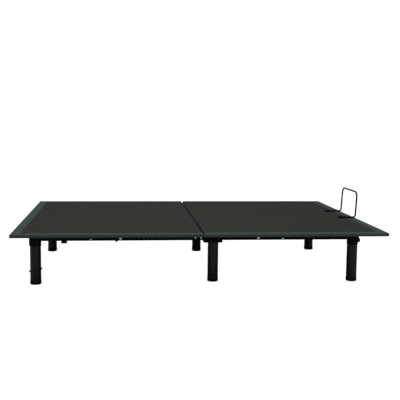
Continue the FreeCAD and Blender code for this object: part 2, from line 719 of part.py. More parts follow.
def makeRollers():
    x = f"({headPivotX} - headArmLong)"
    inner = "(armSide + armThick / 2)"
    start = f"({inner} + rollerSpace)"
    axles = []
    for sideName, side in (("left", -1), ("right", 1)):
        name = f"roller_{sideName}"
        y = across(start, f"({start} + rollerWide)", side)
        wheel = rod(name + "_wheel", "y", (x, pivotZ), "rollerRadius", y)
        hole = rod(name + "_hole", "y", (x, pivotZ), "axleRadius + runFit", y)
        part(name, cut(name, wheel, hole))
        end = f"({start} + rollerWide + lugSpace)"
        shank = rod("axleShank", "y", (x, pivotZ), "axleRadius",
                    across("(armSide - armThick / 2)", end, side))
        head = rod("axleHead", "y", (x, pivotZ), "axleHead",
                   across(end, f"({end} + pinHeadThick)", side))
        axles.append(join("axle", shank, head))
    part("roller_axles", group("roller_axles", axles))


# ---- drives ----

def makeDrives():
    drives = {
        "head": dict(pivot=headPivotX, way=-1, level=headRodZ, lean="headLeverLean",
                     travel="(headLeverDrop * headPinSlope)", near="headSlotNear", far="headSlotFar",
                     tube=seatTubeX, motor="headMotorLong"),
        "foot": dict(pivot=footPivotX, way=1, level=footRodZ, lean="footLeverLean",
                     travel="(footLeverDrop * footPinSlope)", near="footSlotNear", far="footSlotFar",
                     tube=thighX, motor="footMotorLong"),
    }
    guides = []
    screws = []
    for end, drive in drives.items():
        # the rod ends short of the gear case
        reach = f"{drive['way']} * ({drive['pivot']} - {drive['tube']}) - {drive['travel']}"
        drive["rod"] = f"({reach} - caseLong / 2 - forkReach - forkBase - {end}RodClear)"
        makeLever(end, drive)
        makeRod(end, drive)
        guide, screw = makeMotor(end, drive)
        guides.append(guide)
        screws.append(screw)
    part("guide_tubes", group("guide_tubes", guides))
    part("lead_screws", group("lead_screws", screws))


def makeLever(end, drive):
    # the lever starts leaning back towards its motor, and its slot takes the fork's pin
    pivot, way = drive["pivot"], drive["way"]

    def spot(distance):
        return (f"({pivot} - {way} * {distance} * sin({drive['lean']}))",
                f"({pivotZ} - {distance} * cos({drive['lean']}))")

    def draw(sketch):
        stadium(sketch, (pivot, pivotZ), spot(drive["far"]), "armRadius")

    def holes(sketch):
        circle(sketch, pivot, pivotZ, "liftRadius")
        stadium(sketch, spot(drive["near"]), spot(drive["far"]), "slotRadius")

    name = f"{end}_drive_lever"
    part(name, plateBody(name, "driveSide - leverThick / 2", "leverThick", draw, holes))


def stretch(start, way, near, far):
    # a stretch that runs from start, towards way
    if way > 0:
        return (f"{start} + ({near})", f"{start} + ({far})")
    return (f"{start} - ({far})", f"{start} - ({near})")


def makeRod(end, drive):
    way, level = drive["way"], drive["level"]
    pinX = f"({drive['pivot']} - {way} * {drive['travel']})"
    z = (f"{level} - forkTall / 2", f"{level} + forkTall / 2")
    reach = "forkReach + forkBase"
    wide = "forkGap / 2 + forkCheek"
    whole = block(f"{end}ForkWhole", stretch(pinX, -way, "-forkTall / 2", reach),
                  (f"driveSide - ({wide})", f"driveSide + {wide}"), z)
    room = block(f"{end}ForkRoom", stretch(pinX, -way, "-forkTall", "forkReach"),
                 ("driveSide - forkGap / 2", "driveSide + forkGap / 2"),
                 (f"{z[0]} - 1", f"{z[1]} + 1"))
    pinY = (f"driveSide - ({wide})", f"driveSide + {wide}")
    hole = rod(f"{end}ForkHole", "y", (pinX, level), "forkPinRadius", pinY)
    fork = cut(f"{end}Fork", whole, room, hole)
    pin = rod(f"{end}ForkPin", "y", (pinX, level), "forkPinRadius", pinY)
    part(f"{end}_rod_fork", group(f"{end}_rod_fork", [fork, pin]))
    x = stretch(pinX, -way, reach, f"{reach} + {drive['rod']}")
    solid = rod(f"{end}RodOuter", "x", ("driveSide", level), "rodRadius", x)
    bore = rod(f"{end}RodBore", "x", ("driveSide", level), "rodBore",
               stretch(pinX, -way, f"{reach} + forkBase", f"{reach} + {drive['rod']} + 1"))
    part(f"{end}_push_rod", cut(f"{end}_push_rod", solid, bore))


def makeMotor(end, drive):
    way, level = drive["way"], drive["level"]
    face = f"({drive['tube']} + {way} * caseLong / 2)"
    mouth = f"({drive['pivot']} - {way} * ({drive['travel']} + forkReach + forkBase + guideGap))"
    x = (face, mouth) if way > 0 else (mouth, face)
    outer = rod(f"{end}GuideOuter", "x", ("driveSide", level), "guideRadius", x)
    bore = rod(f"{end}GuideBore", "x", ("driveSide", level), "rodRadius + rodFit", x)
    guide = cut(f"{end}Guide", outer, bore)
    screw = rod(f"{end}Screw", "x", ("driveSide", level), "screwRadius",
                stretch(face, way, "0", f"{drive['rod']} - forkBase - 10"))
    caseX = (f"{drive['tube']} - caseLong / 2", f"{drive['tube']} + caseLong / 2")
    caseY = ("driveSide - guideRadius - 10", "driveSide - guideRadius - 10 + caseWide")
    case = block(f"{end}CaseBlock", caseX, caseY,
                 (f"{level} - caseTall / 2", f"{level} + caseTall / 2"))
    doc.recompute()
    rounded = doc.addObject("Part::Fillet", f"{end}_gear_case")
    rounded.Base = case
    edge = number("caseEdge")
    rounded.Edges = [(index, edge, edge) for index in range(1, len(case.Shape.Edges) + 1)]
    part(f"{end}_gear_case", rounded)
    part(f"{end}_motor", rod(f"{end}_motor", "x", ("driveSide + motorSide", level),
                             "motorRadius", stretch(face, way, "0", drive["motor"])))
    return guide, screw


def makeControlBox():
    x = (f"{seatTubeX} - railSize / 2 - boxLong", f"{seatTubeX} - railSize / 2")
    y = ("boxSide", "boxSide + boxWide")
    low = f"({railTop} - boxTall)"
    shell = block("boxShell", x, y, (f"{low} + boxLid", railTop))
    room = block("boxRoom", (f"{x[0]} + boxWall", f"{x[1]} - boxWall"),
                 (f"{y[0]} + boxWall", f"{y[1]} - boxWall"),
                 (f"{low} + boxLid - 1", f"{railTop} - boxWall"))
    windows = []
    sockets = []
    for index in (1, 2, 3):
        centre = f"(boxSide + boxWide * {index} / 4)"
        spanY = (f"{centre} - socketSize", f"{centre} + socketSize")
        spanZ = (f"{railTop} - boxTall / 2 - socketSize / 2",
                 f"{railTop} - boxTall / 2 + socketSize / 2")
        windows.append(block("boxWindow", (f"{x[0]} - 1", f"{x[0]} + boxWall"), spanY, spanZ))
        body = block("socketBody", (x[0], f"{x[0]} + socketDeep + boxWall"), spanY, spanZ)
        mouth = block("socketMouth", (f"{x[0]} - 1", f"{x[0]} + socketDeep"),
                      (f"{spanY[0]} + 2", f"{spanY[1]} - 2"), (f"{spanZ[0]} + 2", f"{spanZ[1]} - 2"))
        sockets.append(cut("boxSocket", body, mouth))
    part("control_case", cut("control_case", shell, room, *windows))
    part("control_lid", block("control_lid", x, y, (low, f"{low} + boxLid")))
    part("control_sockets", group("control_sockets", sockets))


# ---- mattress retainer ----

def makeRetainer():
    wire = number("wireRadius")
    half = number("retainerWide / 2")
    low = number("deckTop") + wire
    high = low + number("retainerTall")
    back = number("deckLong / 2 - retainerEdge") - wire
    front = back - number("retainerFoot")
    out = back + number("retainerLean")
    bend = number("retainerBend")
    corner = number("retainerCorner")
    points = [(front, -half, low), (back, -half, low), (out, -half, high),
              (out, half, high), (back, half, low), (front, half, low)]
    spots = [FreeCAD.Vector(*point) for point in points]
    edges = []
    start = spots[0]
    for before, spot, after, radius in zip(spots, spots[1:], spots[2:],
                                           (bend, corner, corner, bend)):
        arrive = (spot - before).normalize()
        leave = (after - spot).normalize()
        turn = arrive.getAngle(leave)
        first = spot - arrive * radius * math.tan(turn / 2)
        last = spot + leave * radius * math.tan(turn / 2)
        inward = (leave - arrive).normalize()
        middle = spot + inward * radius * (1 / math.cos(turn / 2) - 1)
        edges.append(Part.LineSegment(start, first).toShape())
        edges.append(Part.Arc(first, middle, last).toShape())
        start = last
    edges.append(Part.LineSegment(start, spots[-1]).toShape())
    path = Part.Wire(edges)
    ring = Part.Wire([Part.makeCircle(wire, spots[0], FreeCAD.Vector(1, 0, 0))])
    bar = doc.addObject("Part::Feature", "retainer_bar")
    bar.Shape = path.makePipeShell([ring], True, False)
    part("retainer_bar", bar)
    clamps = []
    footX = "(deckLong / 2 - retainerEdge - wireRadius - retainerFoot)"
    for side in (-1, 1):
        y = f"({side} * retainerWide / 2)"
        outer = block("clampOuter", (footX, f"{footX} + clampLong"),
                      (f"{y} - clampWide / 2", f"{y} + clampWide / 2"),
                      ("deckTop", "deckTop + clampTall"))
        bore = rod("clampBore", "x", (y, "deckTop + wireRadius"), "wireRadius",
                   (f"{footX} - 1", f"{footX} + clampLong + 1"))
        slit = block("clampSlit", (f"{footX} - 1", f"{footX} + clampLong + 1"),
                     (f"{y} - wireRadius", f"{y} + wireRadius"),
                     ("deckTop - 1", "deckTop + wireRadius"))
        clamps.append(cut("clamp", outer, bore, slit))
    part("retainer_clamps", group("retainer_clamps", clamps))


makeRails()
makeCrossTubes()
railBolts = makeFoldPlates() + makeRests()
part("rail_bolts", group("rail_bolts", railBolts))
makeBearers()
makeHingePins()
makeLegs()
makeSockets()
makeDeck()
makeSubframes()
makeArmPins()
makeArms()
makeRollers()
makeDrives()
makeControlBox()
makeRetainer()
doc.recompute()

for thing in doc.Objects:
    if "Invalid" in thing.State or "Error" in thing.State:
        raise RuntimeError(f"{thing.Name} ({thing.Label}) failed: {thing.State}")
os.makedirs("parts", exist_ok=True)
for name, thing in parts.items():
    shape = thing.Shape
    if shape.isNull() or not shape.isValid() or not shape.Solids:
        raise RuntimeError(name + " has no valid solid")
    shape.exportStep(f"parts/{name}.step")
print(len(parts), "parts written")
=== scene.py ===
import bpy
import bmesh
import json
import math
from mathutils import Matrix, Vector, noise


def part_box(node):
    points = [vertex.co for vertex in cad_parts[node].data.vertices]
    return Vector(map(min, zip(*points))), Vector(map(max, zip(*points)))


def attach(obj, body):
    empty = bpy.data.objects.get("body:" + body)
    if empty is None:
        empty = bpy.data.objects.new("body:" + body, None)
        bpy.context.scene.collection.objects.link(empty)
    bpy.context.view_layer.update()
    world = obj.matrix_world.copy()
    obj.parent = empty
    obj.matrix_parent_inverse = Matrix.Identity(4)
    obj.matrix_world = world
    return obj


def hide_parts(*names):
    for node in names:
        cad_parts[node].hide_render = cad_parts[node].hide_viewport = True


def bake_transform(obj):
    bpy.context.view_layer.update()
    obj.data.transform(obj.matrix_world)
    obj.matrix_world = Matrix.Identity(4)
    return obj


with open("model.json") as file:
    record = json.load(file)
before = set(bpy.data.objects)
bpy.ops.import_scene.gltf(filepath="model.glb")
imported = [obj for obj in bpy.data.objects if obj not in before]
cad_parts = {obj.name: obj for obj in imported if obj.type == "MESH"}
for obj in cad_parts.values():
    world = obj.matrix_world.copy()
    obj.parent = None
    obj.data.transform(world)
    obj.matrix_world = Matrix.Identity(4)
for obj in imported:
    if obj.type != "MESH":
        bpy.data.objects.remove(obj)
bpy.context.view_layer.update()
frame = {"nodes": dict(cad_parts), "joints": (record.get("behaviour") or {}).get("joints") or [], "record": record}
nodes = frame["nodes"]
print("frame loaded:", len(nodes), "nodes")


# ---------- shader helpers ----------

class Wire:
    # a socket that takes part in arithmetic; every operator adds a Math node
    def __init__(self, finish, socket):
        self.finish = finish
        self.socket = socket

    def maths(self, operation, *values):
        return self.finish.add("ShaderNodeMath", {"operation": operation}, *values)

    def __add__(self, other):
        return self.maths("ADD", self, other)

    def __radd__(self, other):
        return self.maths("ADD", other, self)

    def __mul__(self, other):
        return self.maths("MULTIPLY", self, other)

    def __rmul__(self, other):
        return self.maths("MULTIPLY", other, self)

    def sine(self):
        return self.maths("SINE", self)

    def size(self):
        return self.maths("ABSOLUTE", self)

    def above(self, other):
        return self.maths("GREATER_THAN", self, other)

    def most(self, other):
        return self.maths("MAXIMUM", self, other)


class Finish:
    # one material: a Principled shader, its fixed values and whatever varies over the surface
    def __init__(self, name, **fixed):
        self.material = bpy.data.materials.new(name)
        self.material.use_nodes = True
        self.tree = self.material.node_tree
        self.shader = self.tree.nodes["Principled BSDF"]
        for socket, value in fixed.items():
            self.shader.inputs[socket.replace("_", " ")].default_value = value

    def add(self, kind, settings, *values, at=None, output=0, **named):
        # settings first; sockets are then fed in order, by number (at) or by name
        node = self.tree.nodes.new(kind)
        for key, value in settings.items():
            if key == "stops":
                for stop, (place, shade) in zip(node.color_ramp.elements, value):
                    stop.position = place
                    stop.color = (*shade, 1)
            else:
                setattr(node, key, value)
        fed = list(zip(node.inputs, values))
        fed += [(node.inputs[index], value) for index, value in (at or {}).items()]
        fed += [(node.inputs[key.replace("_", " ")], value) for key, value in named.items()]
        for socket, value in fed:
            if isinstance(value, Wire):
                self.tree.links.new(value.socket, socket)
            elif socket.type == "RGBA":
                socket.default_value = (*value, 1)
            else:
                socket.default_value = value
        return Wire(self, node.outputs[output])

    def place(self, source="Object"):
        return self.add("ShaderNodeTexCoord", {}, output=source)

    def split(self, vector):
        first = self.add("ShaderNodeSeparateXYZ", {}, vector)
        return [Wire(self, socket) for socket in first.socket.node.outputs]

    def grain(self, vector, scale, detail=3.0, rough=0.5):
        return self.add("ShaderNodeTexNoise", {}, Vector=vector, Scale=scale, Detail=detail,
                        Roughness=rough)

    def blendColours(self, factor, first, second):
        # a colour Mix node: sockets 6 and 7 are its two colours, and output 2 is the result
        return self.add("ShaderNodeMix", {"data_type": "RGBA"}, output=2,
                        at={0: factor, 6: first, 7: second})

    def stretch(self, value, low, high):
        return self.add("ShaderNodeMapRange", {}, Value=value, From_Min=0.0, From_Max=1.0,
                        To_Min=low, To_Max=high)

    def relief(self, value, strength, depth):
        return self.add("ShaderNodeBump", {}, Strength=strength, Distance=depth, Height=value)

    def drive(self, **sockets):
        for socket, value in sockets.items():
            self.tree.links.new(value.socket, self.shader.inputs[socket.replace("_", " ")])
        return self.material


# ---------- finishes ----------

def clothFinish(name, look):
    # plain woven polyester; UV holds the flat cut in metres, so the border is found from it
    finish = Finish(name, Specular_IOR_Level=look["gloss"])
    cut = finish.place("UV")
    u, v, _ = finish.split(cut)
    border = v.size().above(look["borderSide"]).most(u.size().above(look["borderEnd"]))
    threads = math.tau / look["threadPitch"]
    warp = (u * threads).sine()
    weft = (v * threads).sine()
    basket = warp * weft * 0.5 + 0.5
    slub = finish.grain(cut, look["slubScale"], 2.0)
    cloud = finish.grain(cut, look["cloudScale"], 5.0, 0.62)
    inner = finish.blendColours(basket * 0.6 + slub * 0.4, look["shade"], look["thread"])
    edging = finish.blendColours(basket * 0.5 + slub * 0.5, look["bandShade"], look["bandThread"])
    cloth = finish.blendColours(border, inner, edging)
    worn = finish.blendColours(finish.stretch(cloud, 0.0, look["patchy"]), cloth, look["dust"])
    rough = finish.stretch(slub, look["rough"] - 0.06, look["rough"] + 0.05)
    bump = finish.relief(basket + slub * 0.7, look["relief"], look["threadHigh"])
    return finish.drive(Base_Color=worn, Roughness=rough, Normal=bump)


coverLook = {
    "gloss": 0.04, "threadPitch": 0.0016, "threadHigh": 0.0004, "rough": 0.9, "relief": 0.5,
    "slubScale": 900.0, "cloudScale": 3.2, "borderSide": 0.710, "borderEnd": 0.964,
    "shade": (0.018, 0.018, 0.017), "thread": (0.040, 0.039, 0.037),
    "bandShade": (0.038, 0.048, 0.050), "bandThread": (0.072, 0.090, 0.093),
    "dust": (0.060, 0.060, 0.058), "patchy": 0.16,
}


def paintFinish(name, look):
    # powder coat: fine orange peel, faint dust and rubbed patches
    finish = Finish(name, Specular_IOR_Level=look["gloss"])
    spot = finish.place()
    peel = finish.grain(spot, look["peelScale"], 2.0)
    cloud = finish.grain(spot, look["cloudScale"], 4.0, 0.6)
    scuff = finish.grain(spot, look["scuffScale"], 6.0, 0.75)
    rubbed = finish.add("ShaderNodeValToRGB", {"stops": [(0.60, (0, 0, 0)), (0.78, (1, 1, 1))]},
                        scuff)
    base = finish.blendColours(cloud, look["shade"], look["light"])
    colour = finish.blendColours(rubbed * look["wear"], base, look["rub"])
    rough = finish.stretch(cloud, look["rough"] - 0.07, look["rough"] + 0.07) + rubbed * 0.08
    bump = finish.relief(peel, look["relief"], look["peelHigh"])
    return finish.drive(Base_Color=colour, Roughness=rough, Normal=bump)


frameLook = {
    "gloss": 0.08, "peelScale": 700.0, "peelHigh": 0.0003, "cloudScale": 9.0,
    "scuffScale": 60.0, "wear": 0.25, "rough": 0.55, "relief": 0.25,
    "shade": (0.0026, 0.0027, 0.0030), "light": (0.0055, 0.0057, 0.0061),
    "rub": (0.018, 0.018, 0.019),
}
legLook = {**frameLook, "gloss": 0.38, "rough": 0.31, "peelScale": 520.0, "wear": 0.15}
wireLook = {**frameLook, "gloss": 0.05, "rough": 0.45, "relief": 0.12}
driveLook = {**frameLook, "rough": 0.48, "light": (0.016, 0.016, 0.018)}


def metalFinish(name, look):
    # plated or ground steel, brushed along one axis
    finish = Finish(name, Metallic=1.0)
    spot = finish.place()
    lines = finish.add("ShaderNodeMapping", {}, spot, Scale=look["brush"])
    streak = finish.grain(lines, 1.0, 6.0, 0.6)
    bloom = finish.grain(spot, look["bloomScale"])
    colour = finish.blendColours(bloom, look["shade"], look["light"])
    rough = finish.stretch(streak, look["rough"] - 0.08, look["rough"] + 0.12)
    bump = finish.relief(streak, look["relief"], look["streakHigh"])
    return finish.drive(Base_Color=colour, Roughness=rough, Normal=bump)


zincLook = {
    "brush": (900, 900, 900), "bloomScale": 140.0, "streakHigh": 0.0001, "relief": 0.15,
    "rough": 0.30, "shade": (0.78, 0.79, 0.80), "light": (0.95, 0.96, 0.96),
}
steelLook = {**zincLook, "brush": (40, 1600, 1600), "rough": 0.2,
             "shade": (0.45, 0.46, 0.48), "light": (0.66, 0.67, 0.68)}


def mouldedFinish(name, look):
    # rubber, nylon and plastic: spark-eroded grain with a little bloom
    finish = Finish(name, Specular_IOR_Level=look["gloss"])
    spot = finish.place()
    spark = finish.grain(spot, look["grainScale"], 4.0, 0.65)
    cloud = finish.grain(spot, look["cloudScale"])
    colour = finish.blendColours(cloud * 0.7 + spark * 0.3, look["shade"], look["light"])
    rough = finish.stretch(spark, look["rough"] - 0.08, look["rough"] + 0.08)
    bump = finish.relief(spark, look["relief"], look["sparkHigh"])
    return finish.drive(Base_Color=colour, Roughness=rough, Normal=bump)


rubberLook = {
    "gloss": 0.2, "grainScale": 900.0, "cloudScale": 14.0, "sparkHigh": 0.00025, "rough": 0.8,
    "relief": 0.3, "shade": (0.006, 0.006, 0.006), "light": (0.014, 0.014, 0.013),
}
plasticLook = {**rubberLook, "gloss": 0.35, "grainScale": 1300.0, "rough": 0.5, "relief": 0.35,
               "shade": (0.010, 0.010, 0.011), "light": (0.018, 0.018, 0.019)}
nylonLook = {**rubberLook, "gloss": 0.45, "grainScale": 700.0, "rough": 0.42, "relief": 0.12,
             "shade": (0.60, 0.58, 0.51), "light": (0.72, 0.71, 0.65)}
threadLook = {**rubberLook, "grainScale": 2500.0, "rough": 0.7, "relief": 0.5,
              "shade": (0.045, 0.050, 0.052), "light": (0.080, 0.088, 0.090)}


def boardFinish(name, look):
    # plywood: long grain on the faces, thin plies on the edges
    finish = Finish(name, Specular_IOR_Level=0.3)
    spot = finish.place()
    _, _, high = finish.split(spot)
    long = finish.add("ShaderNodeMapping", {}, spot, Scale=look["stretch"])
    figure = finish.grain(long, look["figureScale"], 8.0, 0.68)
    plies = (high * (math.tau / look["ply"])).sine() * 0.5 + 0.5
    flat = finish.blendColours(figure, look["shade"], look["light"])
    colour = finish.blendColours(plies * 0.35, flat, look["glue"])
    rough = finish.stretch(figure, 0.62, 0.8)
    bump = finish.relief(figure, look["relief"], look["figureHigh"])
    return finish.drive(Base_Color=colour, Roughness=rough, Normal=bump)


boardLook = {
    "ply": 0.0026, "stretch": (2.2, 26.0, 26.0), "figureScale": 3.0, "figureHigh": 0.0003,
    "relief": 0.3, "shade": (0.30, 0.19, 0.10), "light": (0.52, 0.38, 0.23),
    "glue": (0.17, 0.10, 0.055),
}

clothMaterial = clothFinish("wovenCover", coverLook)
framePaint = paintFinish("framePowderCoat", frameLook)
legPaint = paintFinish("legSatinPaint", legLook)
wirePaint = paintFinish("retainerCoating", wireLook)
drivePaint = paintFinish("driveHousingPaint", driveLook)
zincMaterial = metalFinish("zincPlate", zincLook)
steelMaterial = metalFinish("groundSteel", steelLook)
rubberMaterial = mouldedFinish("mouldedRubber", rubberLook)
plasticMaterial = mouldedFinish("grainedPlastic", plasticLook)
nylonMaterial = mouldedFinish("naturalNylon", nylonLook)
threadMaterial = mouldedFinish("polyesterThread", threadLook)
boardMaterial = boardFinish("rawPlywood", boardLook)

finishBySlot = {
    "cover_fabric": clothMaterial, "deck_board": boardMaterial, "frame_paint": framePaint,
    "leg_paint": legPaint, "zinc": zincMaterial, "bright_steel": steelMaterial,
    "rubber": rubberMaterial, "black_plastic": plasticMaterial, "nylon": nylonMaterial,
    "drive_paint": drivePaint, "wire_coating": wirePaint,
}
slotOf = {entry["node"]: entry["material_slot"] for entry in frame["record"]["subparts"]}
for nodeName, cadNode in nodes.items():
    cadNode.data.materials.clear()
    cadNode.data.materials.append(finishBySlot[slotOf[nodeName]])
print("finishes made")


# ---------- piece helpers ----------

def pieceFrom(name, mesh, material):
    # a finished mesh becomes a piece with its place in its mesh
    piece = bpy.data.objects.new(name, mesh)
    bpy.context.scene.collection.objects.link(piece)
    if material:
        mesh.materials.clear()
        mesh.materials.append(material)
    return piece


def bakeModifiers(piece):
    # turns the evaluated shape into the piece's own plain mesh
    bpy.context.view_layer.update()
    seen = piece.evaluated_get(bpy.context.evaluated_depsgraph_get())
    mesh = bpy.data.meshes.new_from_object(seen)
    piece.modifiers.clear()
    piece.data = mesh


turnedSharp = 40  # degrees between faces, above which a turned shape's edge stays crisp


def turnedMesh(name, profile, segments, axis="z"):
    # revolves (radius, height) points; radius 0 closes a pole
    shape = bmesh.new()
    loops = []
    for radius, height in profile:
        if radius == 0:
            loops.append([shape.verts.new((0, 0, height))])
            continue
        loops.append([shape.verts.new((radius * math.cos(math.tau * step / segments),
                                       radius * math.sin(math.tau * step / segments), height))
                      for step in range(segments)])
    for low, high in zip(loops, loops[1:]):
        for step in range(segments):
            after = (step + 1) % segments
            corners = [low[step % len(low)], low[after % len(low)],
                       high[after % len(high)], high[step % len(high)]]
            unique = list(dict.fromkeys(corners))
            if len(unique) > 2:
                shape.faces.new(unique)
    bmesh.ops.recalc_face_normals(shape, faces=shape.faces)
    if axis == "x":
        bmesh.ops.transform(shape, matrix=Matrix.Rotation(math.pi / 2, 4, "Y"), verts=shape.verts)
    mesh = bpy.data.meshes.new(name)
    shape.to_mesh(mesh)
    shape.free()
    for face in mesh.polygons:
        face.use_smooth = True
    mesh.set_sharp_from_angle(angle=math.radians(turnedSharp))
    return mesh


def scatterTree(name, seed):
    # Geometry Nodes: a copy of one shape on every point of the input mesh, turned by "facing"
    tree = bpy.data.node_groups.new(name, "GeometryNodeTree")
    for label, kind in (("Geometry", "Geometry"), ("Shape", "Object"), ("Size", "Float"),
                        ("Size spread", "Float"), ("Material", "Material")):
        tree.interface.new_socket(label, in_out="INPUT", socket_type="NodeSocket" + kind)
    tree.interface.new_socket("Geometry", in_out="OUTPUT", socket_type="NodeSocketGeometry")

    def add(kind, settings, fed):
        # a node with its settings; each fed input takes an output socket or a plain value
        node = tree.nodes.new(kind)
        for key, value in settings.items():
            setattr(node, key, value)
        for key, value in fed.items():
            if isinstance(value, bpy.types.NodeSocket):
                tree.links.new(value, node.inputs[key])
            else:
                node.inputs[key].default_value = value
        return node.outputs

    entry = add("NodeGroupInput", {}, {})
    shape = add("GeometryNodeObjectInfo", {}, {"Object": entry["Shape"]})
    facing = add("GeometryNodeInputNamedAttribute", {"data_type": "FLOAT_VECTOR"},
                 {"Name": "facing"})
    turn = add("FunctionNodeEulerToRotation", {}, {0: facing["Attribute"]})
    low, high = (add("ShaderNodeMath", {"operation": operation},
                     {0: entry["Size"], 1: entry["Size spread"]})
                 for operation in ("SUBTRACT", "ADD"))
    vary = add("FunctionNodeRandomValue", {}, {"Seed": seed, 2: low[0], 3: high[0]})
    placed = add("GeometryNodeInstanceOnPoints", {}, {
        "Points": entry["Geometry"], "Instance": shape["Geometry"], "Rotation": turn[0],
        "Scale": vary[1]})
    real = add("GeometryNodeRealizeInstances", {}, {0: placed[0]})
    painted = add("GeometryNodeSetMaterial", {}, {"Geometry": real[0],
                                                  "Material": entry["Material"]})
    add("NodeGroupOutput", {}, {0: painted[0]})
    return tree


repeatTree = scatterTree("repeatOnPoints", seed=7)


def repeated(name, mesh, spots, material, spread=0.0):
    # spots: (place, euler) pairs; gives one plain mesh piece
    points = bpy.data.meshes.new(name + "Points")
    points.from_pydata([place for place, _ in spots], [], [])
    facing = points.attributes.new("facing", "FLOAT_VECTOR", "POINT")
    for index, (_, euler) in enumerate(spots):
        facing.data[index].vector = euler
    source = bpy.data.objects.new(name + "Shape", mesh)
    bpy.context.scene.collection.objects.link(source)
    piece = pieceFrom(name, points, None)
    modifier = piece.modifiers.new("repeat", "NODES")
    modifier.node_group = repeatTree
    ids = {item.name: item.identifier for item in repeatTree.interface.items_tree
           if item.in_out == "INPUT"}
    modifier[ids["Shape"]] = source
    modifier[ids["Size"]] = 1.0
    modifier[ids["Size spread"]] = spread
    modifier[ids["Material"]] = material
    bakeModifiers(piece)
    bpy.data.objects.remove(source)
    return piece


# ---------- fabric covers ----------

coverShape = {
    # outline and edge
    "rimInset": 0.012, "endCorner": 0.012, "splitCorner": 0.006, "cornerSteps": 8,
    "upperRound": 0.0075, "upperSteps": 6, "firstTurn": 10, "lowerRound": 0.004,
    "lowerSteps": 4, "skirtEnd": 0.003, "under": 0.034, "splitUnder": 0.0028,
    "splitSwell": 0.0055, "swellFrom": 0.6, "cloth": 0.0012, "crispAngle": 55,
    # seam, puckers and sag of the top
    "bandWide": 0.052, "seamDeep": 0.0016, "seamHalf": 0.002, "pucker": 0.0006,
    "puckerPitch": 0.047, "puckerFade": 0.014, "puckerDrift": 4, "puckerStray": 3,
    "sag": 0.0011, "sagDrift": 2.6, "sagFade": 0.05, "calmReach": 0.08,
    # unevenness of the sides
    "tremor": 0.0005, "tremorDrift": 9, "tremorDown": 50, "tremorFrom": 0.004,
    # how close the mesh stands
    "gridStep": 0.024, "hingeStep": 0.004, "hingeReach": 0.036, "bendInside": 0.006,
    "weld": 2e-5,
}
headPadBox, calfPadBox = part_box("head_pad"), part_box("calf_pad")
headEndX, footEndX = headPadBox[0].x, calfPadBox[1].x
deckSide, deckTop = calfPadBox[1].y, calfPadBox[1].z
deckThick = deckTop - calfPadBox[0].z
splitLow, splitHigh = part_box("seat_pad")[1].x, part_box("hip_pad")[0].x
hingeAt = {joint["name"]: Vector(joint["pos_m"]) for joint in frame["joints"]
           if joint["name"] in ("head_tilt", "thigh_tilt", "calf_level")}
headX, thighX, kneeX = (hingeAt[name].x for name in ("head_tilt", "thigh_tilt", "calf_level"))
headMid = (headEndX + headX) / 2
thighMid = (thighX + kneeX) / 2


def edgeRows():
    # (inset from the outline, drop below the top), from the rim of the flat top to the under flap
    shape = coverShape
    upper, lower = shape["upperRound"], shape["lowerRound"]
    rows = [(shape["rimInset"], 0.0)]
    for step in range(shape["upperSteps"] + 1):
        angle = math.radians(shape["firstTurn"]
                             + (90 - shape["firstTurn"]) * step / shape["upperSteps"])
        rows.append((upper * (1 - math.sin(angle)), upper * (1 - math.cos(angle))))
    rows.append((0.0, deckThick - lower - shape["skirtEnd"]))
    for step in range(shape["lowerSteps"] + 1):
        angle = math.radians(90 * step / shape["lowerSteps"])
        rows.append((lower * (1 - math.cos(angle)), deckThick - lower * (1 - math.sin(angle))))
    return rows + [(shape["under"] / 2, deckThick), (shape["under"], deckThick)]


def stations(low, high, fine):
    # places from low to high; fine holds (centre, reach, step) where they stand closer
    places = {low, high}
    for centre, reach, step in fine:
        count = round(2 * reach / step)
        places.update(centre - reach + 2 * reach * index / count for index in range(count + 1))
    marks = sorted(place for place in places if low <= place <= high)
    filled = []
    for first, second in zip(marks, marks[1:]):
        count = max(1, math.ceil((second - first) / coverShape["gridStep"] - 1e-6))
        filled += [first + (second - first) * index / count for index in range(count)]
    return filled + [high]


driftLayer = {"pucker": 1.7, "sag": 0.4, "foam": 2.3}


def drift(x, y, scale, layer):
    # smooth unevenness from -1 to 1; each layer has its own pattern
    return noise.noise(Vector((x * scale, y * scale, layer)))


def relief(x, y, outer):
    # how far the cloth lies below the flat top: seam groove, puckers along it and a soft sag
    shape = coverShape
    inset = deckSide - abs(y)
    along = x
    if outer is not None and abs(outer - x) < inset:
        inset, along = abs(outer - x), y
    off = inset - shape["bandWide"]
    groove = shape["seamDeep"] * math.exp(-(off / shape["seamHalf"]) ** 2)
    phase = shape["puckerStray"] * drift(x, y, shape["puckerDrift"], driftLayer["pucker"])
    wave = 0.5 + 0.5 * math.sin(along * math.tau / shape["puckerPitch"] + phase)
    pucker = shape["pucker"] * wave * math.exp(-abs(off) / shape["puckerFade"])
    sag = shape["sag"] * (0.5 + 0.5 * drift(x, y, shape["sagDrift"], driftLayer["sag"]))
    calm = min(1.0, (abs(x - thighMid) / shape["calmReach"]) ** 2)
    return groove + (pucker + sag * min(1.0, inset / shape["sagFade"])) * calm


